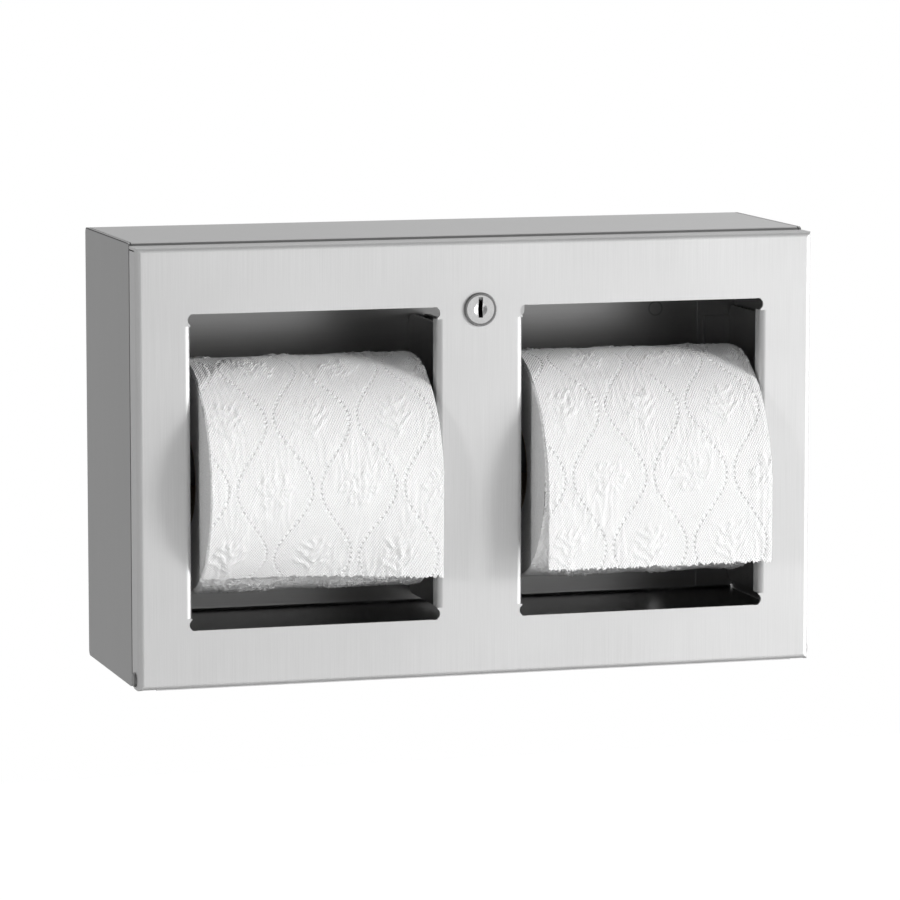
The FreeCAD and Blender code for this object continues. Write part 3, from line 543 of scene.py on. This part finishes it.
sprig = {
    "stem": ((0.2, -8.5), (0.5, -2.0), (0.0, 7.5)),
    "leaves": (
        (-5.2, (3.2, 1.5), (5.6, 4.4)),
        (-1.2, (3.0, 1.9), (5.2, 4.6)),
        (2.8, (2.3, 1.8), (3.7, 4.3)),
    ),
    "lean": 0.6, "rootGap": 0.2,
}
rosette = {
    "petals": 6, "inner": 1.6, "outer": 6.8, "spread": 0.25,
    "rim": ((0.0, -1.0), (0.75, -0.9), (1.0, 0.0), (0.75, 0.9), (0.0, 1.0)),
}
# waves by which the pressed strokes wander in the soft paper
strokeWander = {
    "slowAlong": 0.71, "slowBend": 1.4, "slowAcross": 0.23,
    "quickShare": 0.7, "quickAlong": 1.63, "quickAcross": 0.4,
    "lengthAcross": 0.83, "lengthBend": 1.1, "lengthAlong": 0.31,
}
# patches of wrinkles, and how narrow the ridge of a wrinkle is
wrinkleField = {
    "patchAcross": 0.055, "patchAlong": 0.04, "patchGain": 2.0, "patchSeed": 9.0,
    "rippleSeed": 3.0, "ridgeSharpness": 3.4,
}


def strokesThrough(points):
    return [(*first, *second) for first, second in zip(points, points[1:])]


def sprigStrokes():
    strokes = strokesThrough(sprig["stem"])
    for foot, middle, tip in sprig["leaves"]:
        for side in (-1, 1):
            lift = foot + side * sprig["lean"]
            strokes += strokesThrough((
                (sprig["rootGap"] * side, lift),
                (side * middle[0], lift + middle[1]),
                (side * tip[0], lift + tip[1]),
            ))
    return strokes


def rosetteStrokes():
    strokes = []
    for petal in range(rosette["petals"]):
        turn = fullTurn * petal / rosette["petals"]
        rim = []
        for reach, lean in rosette["rim"]:
            radius = rosette["inner"] + reach * (rosette["outer"] - rosette["inner"])
            angle = turn + lean * rosette["spread"]
            rim.append((radius * math.cos(angle), radius * math.sin(angle)))
        strokes += strokesThrough(rim)
    return strokes


def strokeRelief(across, along, strokes):
    relief = np.zeros_like(across)
    for startX, startY, endX, endY in strokes:
        runX, runY = endX - startX, endY - startY
        share = ((across - startX) * runX + (along - startY) * runY) / (runX ** 2 + runY ** 2)
        share = np.clip(share, 0.0, 1.0)
        gap = np.hypot(across - startX - share * runX, along - startY - share * runY)
        relief = np.maximum(relief, np.exp(-(gap / paperPattern["strokeWidth"]) ** 2))
    return relief * paperPattern["strokeHeight"]


def wander(across, along):
    look = strokeWander
    slow = np.sin(look["slowAlong"] * along + look["slowBend"] * np.sin(look["slowAcross"] * across))
    quick = look["quickShare"] * np.sin(look["quickAlong"] * along - look["quickAcross"] * across)
    bend = look["lengthBend"] * np.sin(look["lengthAlong"] * along)
    return slow + quick, np.sin(look["lengthAcross"] * across + bend)


def paperRelief(across, along):
    look = paperPattern
    column = np.floor(across / look["lineGap"])
    beat = np.mod(along + look["dotPitch"] / 2, look["dotPitch"]) - look["dotPitch"] / 2
    wave = look["swing"] * np.cos(fullTurn * (along - beat) / look["period"])
    dots = np.zeros_like(across)
    for step in (-1, 0, 1, 2):
        line = column + step
        offset = across - line * look["lineGap"] - np.where(np.mod(line, 2) == 0, wave, -wave)
        dots = np.maximum(dots, np.exp(-(offset ** 2 + beat ** 2) / look["dotReach"] ** 2 * 2))
    even = np.mod(column, 2) == 0
    row = along - np.where(even, look["period"] / 2, 0.0)
    inCell = np.mod(row + look["period"] / 2, look["period"]) - look["period"] / 2
    fromCentre = across - (column + 0.5) * look["lineGap"]
    sideways, lengthways = wander(across, along)
    fromCentre = (fromCentre + look["warp"] * sideways) / look["motifScale"]
    inCell = (inCell + look["warp"] * lengthways) / look["motifScale"]
    motif = np.where(even, strokeRelief(fromCentre, inCell, sprigStrokes()),
                     strokeRelief(fromCentre, inCell, rosetteStrokes()))
    return motif - look["dotDepth"] * dots


def crease(across, along, look, seed):
    # slow waves in the paper, and sharp little wrinkles that run along its turn and come in patches
    field = wrinkleField
    wave = []
    wrinkle = []
    for x, y in zip(across, along):
        wave.append(noise.noise(Vector((x * look["creaseAcross"], y * look["creaseAlong"], seed))))
        patchSpot = Vector((x * field["patchAcross"], y * field["patchAlong"], seed + field["patchSeed"]))
        patch = field["patchGain"] * noise.noise(patchSpot) + look["wrinklePatch"]
        rippleSpot = Vector((x * look["wrinkleAcross"], y * look["wrinkleAlong"], seed + field["rippleSeed"]))
        ridge = 1.0 - abs(noise.noise(rippleSpot)) * field["ridgeSharpness"]
        wrinkle.append(max(ridge, 0.0) * min(max(patch, 0.0), 1.0))
    return look["creaseHeight"] * np.array(wave) + look["wrinkleHeight"] * np.array(wrinkle)


def newPiece(name, bm, body, slot, *finishes):
    mesh = bpy.data.meshes.new(name)
    bm.to_mesh(mesh)
    bm.free()
    piece = bpy.data.objects.new(name, mesh)
    bpy.context.scene.collection.objects.link(piece)
    for finish in finishes:
        mesh.materials.append(materials[finish])
    mesh.shade_smooth()
    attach(piece, body)
    return piece


def meshPoints(mesh):
    points = np.zeros(len(mesh.vertices) * 3)
    mesh.vertices.foreach_get("co", points)
    return points.reshape(-1, 3)


def setPoints(mesh, points):
    mesh.vertices.foreach_set("co", points.ravel())
    mesh.update()


def markPaper(mesh, across, along):
    # the paper's own millimetres, for the tissue material
    spots = np.stack([across, along, np.zeros_like(across)], axis=1)
    attribute = mesh.attributes.new("paperSpot", "FLOAT_VECTOR", "POINT")
    attribute.data.foreach_set("vector", spots.ravel())


# wound rolls: millimetres, apart from the two tolerances, which are in metres

rollLook = {
    "sink": 1.2, "endRings": 34, "endJitter": 0.16, "turnSteps": 400, "alongStep": 0.62,
    "edgeRound": 1.6, "edgeDrop": 0.7, "endLean": 0.7, "weldGap": 1e-6, "skinGap": 1e-5,
    "creaseAcross": 0.045, "creaseAlong": 0.03, "creaseHeight": 0.28,
    "wrinklePatch": 0.9, "wrinkleHeight": 0.75, "wrinkleAcross": 0.45, "wrinkleAlong": 0.24,
}


def makeRoll(side, seed):
    low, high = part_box(side + "_paper_roll")
    coreLow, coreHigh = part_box(side + "_roll_core")
    centre = (low + high) / 2
    radius = (high.z - low.z) / 2
    bore = (coreHigh.z - coreLow.z) / 2
    outer = radius - rollLook["sink"] * mm
    weldGap = rollLook["weldGap"]
    corners = [(low.x, bore), (low.x, outer), (high.x, outer), (high.x, bore)]
    bm = bmesh.new()
    ring = [bm.verts.new((x, centre.y + r, centre.z)) for x, r in corners]
    edges = [bm.edges.new((ring[i], ring[(i + 1) % 4])) for i in range(4)]
    alongCuts = int((high.x - low.x) / (rollLook["alongStep"] * mm))
    bmesh.ops.subdivide_edges(bm, edges=[edges[0], edges[2]], cuts=rollLook["endRings"])
    bmesh.ops.subdivide_edges(bm, edges=[edges[1]], cuts=alongCuts)
    draw = random.Random(seed)
    for vert in bm.verts:
        onEnd = min(vert.co.x - low.x, high.x - vert.co.x) < weldGap
        if onEnd and bore + weldGap < vert.co.y - centre.y < outer - weldGap:
            inward = 1 if vert.co.x < centre.x else -1
            vert.co.x += inward * draw.uniform(0.0, rollLook["endJitter"]) * mm
    bmesh.ops.spin(bm, geom=bm.verts[:] + bm.edges[:], cent=centre, axis=(1, 0, 0), angle=fullTurn,
                   steps=rollLook["turnSteps"], use_merge=True)
    bmesh.ops.remove_doubles(bm, verts=bm.verts, dist=weldGap)
    bmesh.ops.recalc_face_normals(bm, faces=bm.faces)
    for face in bm.faces:
        face.material_index = 1 if abs(face.normal.x) > rollLook["endLean"] else 0
    roll = newPiece(side + "RollPaper", bm, side + "_roll", "tissue", "tissue", "rollEdge")
    points = meshPoints(roll.data)
    fromAxis = np.hypot(points[:, 1] - centre.y, points[:, 2] - centre.z)
    turn = np.arctan2(points[:, 2] - centre.z, centre.y - points[:, 1])
    across = (points[:, 0] - low.x) / mm
    along = turn * radius / mm
    markPaper(roll.data, across, along)
    onOuter = fromAxis > outer - rollLook["skinGap"]
    toEnd = np.minimum(across, (high.x - low.x) / mm - across)
    rounding = rollLook["edgeDrop"] * np.clip(1 - toEnd / rollLook["edgeRound"], 0, 1) ** 2
    relief = paperRelief(across, along) + crease(across, along, rollLook, seed)
    push = relief - rollLook["creaseHeight"] / 2 - rounding
    grow = np.where(onOuter, 1 + push * mm / fromAxis, 1.0)
    points[:, 1] = centre.y + (points[:, 1] - centre.y) * grow
    points[:, 2] = centre.z + (points[:, 2] - centre.z) * grow
    setPoints(roll.data, points)
    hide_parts(side + "_paper_roll")
    print(side, "roll:", len(roll.data.polygons), "faces")


# loose outer sheets, in millimetres and degrees: each starts over the top of its roll, leaves it at
# leaveAngle on a wider arc and ends level, at fall below the axis; its left edge keeps to the roll down to
# hugAngle, its right edge hangs

tailLooks = {
    "left": {"startAngle": 104.0, "leaveAngle": 22.0, "bulge": 0.0, "hugAngle": 50.0, "fall": 39.6},
    "right": {"startAngle": 104.0, "leaveAngle": 36.0, "bulge": 3.1, "hugAngle": 0.0, "fall": 39.0},
}
sheetLook = {
    "gap": 0.55, "thickness": 0.22, "step": 0.56, "tearDepth": 0.8, "tearBand": 2.4,
    "hugStart": 0.1, "lengthSamples": 201,
    "creaseAcross": 0.05, "creaseAlong": 0.035, "creaseHeight": 0.35,
    "wrinklePatch": 0.4, "wrinkleHeight": 0.5, "wrinkleAcross": 0.36, "wrinkleAlong": 0.085,
}


def smoothStep(share):
    share = np.clip(share, 0.0, 1.0)
    return share * share * (3 - 2 * share)


def wideArc(look, radius):
    # radius of the arc on which the sheet leaves its roll
    if not look["bulge"]:
        return radius
    return radius + look["bulge"] / (1 - math.cos(math.radians(look["leaveAngle"])))


def sheetPath(run, hug, look, radius):
    # point and outward direction, from the roll's axis, at a run of paper from the top edge
    start, leave = math.radians(look["startAngle"]), math.radians(look["leaveAngle"])
    wide = wideArc(look, radius)
    firstRun = (start - leave) * radius
    secondRun = (leave + hug) * wide
    onRoll = run < firstRun
    wideAngle = np.maximum(leave - (run - firstRun) / wide, -hug)
    angle = np.where(onRoll, start - run / radius, wideAngle)
    size = np.where(onRoll, radius, wide)
    beyond = np.maximum(run - firstRun - secondRun, 0.0)
    shiftDepth = np.where(onRoll, 0.0, (wide - radius) * math.cos(leave))
    shiftRise = np.where(onRoll, 0.0, -(wide - radius) * math.sin(leave))
    depth = shiftDepth - size * np.cos(angle) - beyond * np.sin(angle)
    rise = shiftRise + size * np.sin(angle) - beyond * np.cos(angle)
    return depth, rise, -np.cos(angle), np.sin(angle)


def makeTail(side, seed):
    look = tailLooks[side]
    low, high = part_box(side + "_paper_roll")
    centre = (low + high) / 2
    radius = (high.z - low.z) / 2 / mm + sheetLook["gap"]
    width = (high.x - low.x) / mm
    start, leave = math.radians(look["startAngle"]), math.radians(look["leaveAngle"])
    wide = wideArc(look, radius)
    level = (wide - radius) * math.sin(leave)

    def hugAt(share):
        loose = smoothStep((share - sheetLook["hugStart"]) / (1 - sheetLook["hugStart"]))
        return math.radians(look["hugAngle"]) * (1 - loose)

    def lengthAt(share):
        hug = hugAt(share)
        straight = (look["fall"] - level - wide * np.sin(hug)) / np.cos(hug)
        return (start - leave) * radius + (leave + hug) * wide + straight

    lengths = lengthAt(np.linspace(0.0, 1.0, sheetLook["lengthSamples"]))
    length, area = float(lengths.max()), float(lengths.mean()) * width
    columns, rows = int(width / sheetLook["step"]), int(length / sheetLook["step"])
    bm = bmesh.new()
    bmesh.ops.create_grid(bm, x_segments=columns, y_segments=rows, size=0.5)
    tail = newPiece(side + "PaperTail", bm, side + "_spindle_set", "tissue", "tissue")
    points = meshPoints(tail.data)
    shareAcross = points[:, 0] + 0.5
    ends = lengthAt(shareAcross)
    run = (0.5 - points[:, 1]) * ends
    draw = random.Random(seed)
    teeth = np.array([draw.uniform(-1.0, 1.0) for column in range(columns + 1)])
    tear = teeth[np.rint(shareAcross * columns).astype(int)] * sheetLook["tearDepth"]
    run = run + tear * np.clip((run - ends + sheetLook["tearBand"]) / sheetLook["tearBand"], 0, 1)
    across = shareAcross * width
    along = start * radius - run
    depth, rise, outY, outZ = sheetPath(run, hugAt(shareAcross), look, radius)
    push = paperRelief(across, along) + crease(across, along, sheetLook, seed)
    points[:, 0] = low.x + across * mm
    points[:, 1] = centre.y + (depth + outY * push) * mm
    points[:, 2] = centre.z + (rise + outZ * push) * mm
    setPoints(tail.data, points)
    markPaper(tail.data, across, along)
    solidify = tail.modifiers.new("ply", "SOLIDIFY")
    solidify.thickness = sheetLook["thickness"] * mm
    solidify.offset = 0.0
    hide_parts(side + "_paper_tail")
    print(side, "tail:", len(tail.data.polygons), "faces, flat", round(width, 1), "x", round(length, 1), "mm")


tailSeedStep = 5
for side, seed in (("left", 11), ("right", 23)):
    makeRoll(side, seed)
    makeTail(side, seed + tailSeedStep)


# camera

cameraView = {
    "azimuth": -16.25, "elevation": 7.25, "distance": 2.1891, "lens": 200.0, "sensor": 36.0,
    "aim": (-0.00186, -0.06, -0.00159), "clip": (0.05, 40.0),
}


def makeCamera():
    data = bpy.data.cameras.new("photoCamera")
    data.lens = cameraView["lens"]
    data.sensor_width = cameraView["sensor"]
    data.clip_start, data.clip_end = cameraView["clip"]
    camera = bpy.data.objects.new("photoCamera", data)
    bpy.context.scene.collection.objects.link(camera)
    turn, lift = math.radians(cameraView["azimuth"]), math.radians(cameraView["elevation"])
    back = Vector((math.sin(turn) * math.cos(lift), -math.cos(turn) * math.cos(lift), math.sin(lift)))
    camera.location = Vector(cameraView["aim"]) + back * cameraView["distance"]
    camera.rotation_mode = "QUATERNION"
    camera.rotation_quaternion = (-back).to_track_quat("-Z", "Y")
    bpy.context.scene.camera = camera


# studio: pale floor well below the part, soft lamps, grey cards that the metal mirrors

floorLook = {
    "drop": 0.85, "size": 8.0, "colour": 0.82, "patch": 0.02, "patchScale": 6.0, "roughness": 0.9,
    "glow": 0.8,
}
lamps = {
    "keyLamp": {"at": (1.6, -1.45, 0.38), "size": 0.5, "power": 40.0},
    "fillLamp": {"at": (-1.3, -1.3, 0.25), "size": 0.25, "power": 13.5},
}
# only mirrored in the metal; a card's two levels stand at the two ends of "span" along X
cards = {
    "backCard": {"at": (0.0, 1.3, 0.1), "facing": (0.0, -1.0, 0.0), "size": (4.0, 2.4),
                 "span": (-0.6, 0.6), "levels": (0.47, 0.71)},
    "leftCard": {"at": (-1.15, -0.25, 0.1), "facing": (1.0, 0.0, 0.0), "size": (2.4, 2.4),
                 "span": (-2.0, 0.0), "levels": (0.39, 0.39)},
    "topCard": {"at": (0.0, -0.65, 1.25), "facing": (0.0, 0.0, -1.0), "size": (2.6, 2.0),
                "span": (-1.3, 1.3), "levels": (0.1, 0.2)},
    "frontCard": {"at": (0.4, -1.4, -0.1), "facing": (0.0, 1.0, 0.0), "size": (3.2, 2.4),
                  "span": (-0.6, 1.2), "levels": (0.2, 1.12)},
    "underCard": {"at": (0.0, -0.1, -0.5), "facing": (0.0, 0.0, 1.0), "size": (1.3, 0.9),
                  "span": (0.0, 2.0), "levels": (0.2, 0.2)},
    "rakeCard": {"at": (2.9, -1.6, 0.1), "facing": (-2.9, 1.5, 0.0), "size": (2.2, 2.0),
                 "span": (0.0, 2.0), "levels": (6.2, 6.2)},
}
worldLook = {"ambient": 0.22, "background": 1.0}


def seenRay(tree):
    path = addNode(tree, "ShaderNodeLightPath").outputs
    return calc(tree, "MAXIMUM", path["Is Camera Ray"],
                calc(tree, "MAXIMUM", path["Is Glossy Ray"], path["Is Transmission Ray"]))


def makeWorld():
    world = bpy.data.worlds.new("studioWorld")
    world.use_nodes = True
    tree = world.node_tree
    ambient = tree.nodes["Background"]
    ambient.inputs["Color"].default_value = grey(1.0)
    ambient.inputs["Strength"].default_value = worldLook["ambient"]
    backdrop = addNode(tree, "ShaderNodeBackground")
    backdrop.inputs["Color"].default_value = grey(1.0)
    backdrop.inputs["Strength"].default_value = worldLook["background"]
    pick = addNode(tree, "ShaderNodeMixShader")
    plug(tree, pick.inputs[0], seenRay(tree))
    plug(tree, pick.inputs[1], ambient.outputs[0])
    plug(tree, pick.inputs[2], backdrop.outputs[0])
    plug(tree, tree.nodes["World Output"].inputs["Surface"], pick.outputs[0])
    bpy.context.scene.world = world


def stagePlane(name, at, facing, size, material):
    turn = Vector(facing).to_track_quat("Z", "Y").to_matrix()
    bm = bmesh.new()
    bmesh.ops.create_grid(bm, x_segments=1, y_segments=1, size=0.5)
    bmesh.ops.scale(bm, vec=(size[0], size[1], 1.0), verts=bm.verts)
    bmesh.ops.rotate(bm, cent=(0, 0, 0), matrix=turn, verts=bm.verts)
    bmesh.ops.translate(bm, vec=at, verts=bm.verts)
    mesh = bpy.data.meshes.new(name)
    bm.to_mesh(mesh)
    bm.free()
    mesh.materials.append(material)
    plane = bpy.data.objects.new(name, mesh)
    bpy.context.scene.collection.objects.link(plane)
    return plane


def floorMaterial():
    # white to the camera and in mirrors, and clear from below
    look = floorLook
    material, tree, shader = newMaterial("paleFloor")
    patch = noiseTexture(tree, objectPlace(tree), look["patchScale"])
    colour = mixColour(tree, patch, grey(look["colour"] - look["patch"]), grey(look["colour"]))
    plug(tree, shader.inputs["Base Color"], colour)
    shader.inputs["Roughness"].default_value = look["roughness"]
    shader.inputs["Emission Color"].default_value = grey(1.0)
    plug(tree, shader.inputs["Emission Strength"], calc(tree, "MULTIPLY", seenRay(tree), look["glow"]))
    clear = addNode(tree, "ShaderNodeBsdfTransparent")
    pick = addNode(tree, "ShaderNodeMixShader")
    plug(tree, pick.inputs[0], addNode(tree, "ShaderNodeNewGeometry").outputs["Backfacing"])
    plug(tree, pick.inputs[1], shader.outputs[0])
    plug(tree, pick.inputs[2], clear.outputs[0])
    plug(tree, tree.nodes["Material Output"].inputs["Surface"], pick.outputs[0])
    return material


def cardMaterial(name, card):
    material, tree, shader = newMaterial(name)
    ramp = addNode(tree, "ShaderNodeMapRange")
    plug(tree, ramp.inputs["Value"], splitVector(tree, objectPlace(tree))["X"])
    ramp.inputs["From Min"].default_value, ramp.inputs["From Max"].default_value = card["span"]
    low, high = card["levels"]
    shader.inputs["Base Color"].default_value = grey(0.0)
    tone = mixColour(tree, ramp.outputs["Result"], grey(low), grey(high))
    plug(tree, shader.inputs["Emission Color"], tone)
    shader.inputs["Emission Strength"].default_value = 1.0
    return material


def makeStudio():
    floorAt = (0.0, 0.0, cadBox[0].z - floorLook["drop"])
    stagePlane("paleFloor", floorAt, (0.0, 0.0, 1.0), (floorLook["size"],) * 2, floorMaterial())
    for name, card in cards.items():
        plane = stagePlane(name, card["at"], card["facing"], card["size"], cardMaterial(name, card))
        plane.visible_camera = plane.visible_diffuse = plane.visible_shadow = False
    middle = (cadBox[0] + cadBox[1]) / 2
    for name, look in lamps.items():
        data = bpy.data.lights.new(name, "AREA")
        data.shape = "SQUARE"
        data.size = look["size"]
        data.energy = look["power"]
        lamp = bpy.data.objects.new(name, data)
        lamp.location = look["at"]
        lamp.rotation_mode = "QUATERNION"
        lamp.rotation_quaternion = (middle - lamp.location).to_track_quat("-Z", "Y")
        lamp.visible_glossy = False
        bpy.context.scene.collection.objects.link(lamp)


makeCamera()
makeWorld()
makeStudio()
bpy.context.scene.view_settings.view_transform = "Standard"
print("studio ready")
